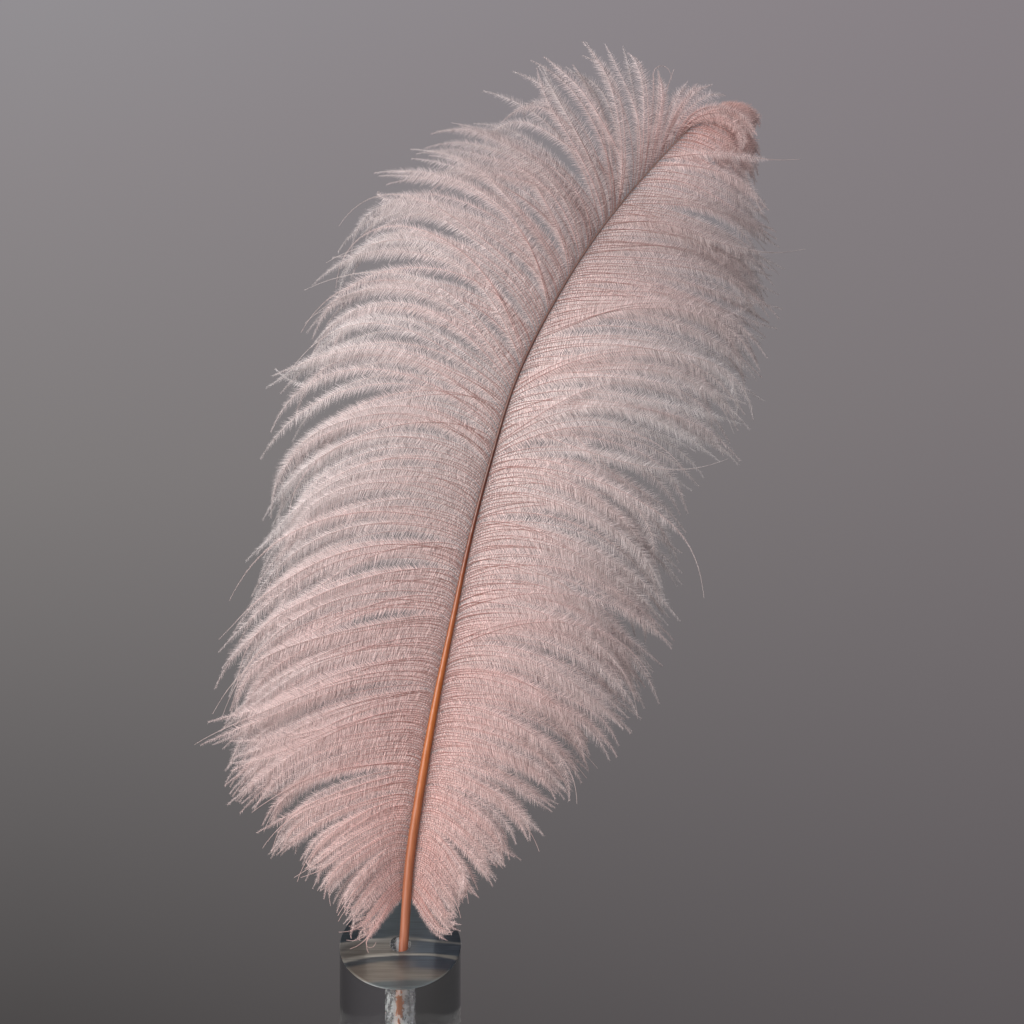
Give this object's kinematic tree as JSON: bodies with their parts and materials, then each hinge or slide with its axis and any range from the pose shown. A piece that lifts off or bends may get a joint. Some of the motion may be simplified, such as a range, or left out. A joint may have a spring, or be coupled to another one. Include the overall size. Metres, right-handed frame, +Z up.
{
  "type": "ostrich feather in an acrylic stand",
  "caption": "Dyed ostrich wing plume, its shaft bent and nodding at the tip, standing in the drilled bore of a solid clear cylinder with a slanted top.",
  "frame": {"origin": "centre of the acrylic stand's round base, on the surface it stands on", "axes": "+Z up along the stand's axis and the plume's length, -Y to the front, which the slanted top faces"},
  "size_m": [0.3576, 0.0892, 0.6835],
  "materials": {
    "clear_acrylic": "polished",
    "quill_keratin": "satin",
    "plume_barbs": "matte"
  },
  "bodies": {
    "root": {"acrylic_stand": "clear_acrylic", "quill_and_shaft": "quill_keratin", "left_vane": "plume_barbs", "right_vane": "plume_barbs"}
  },
  "joints": []
}
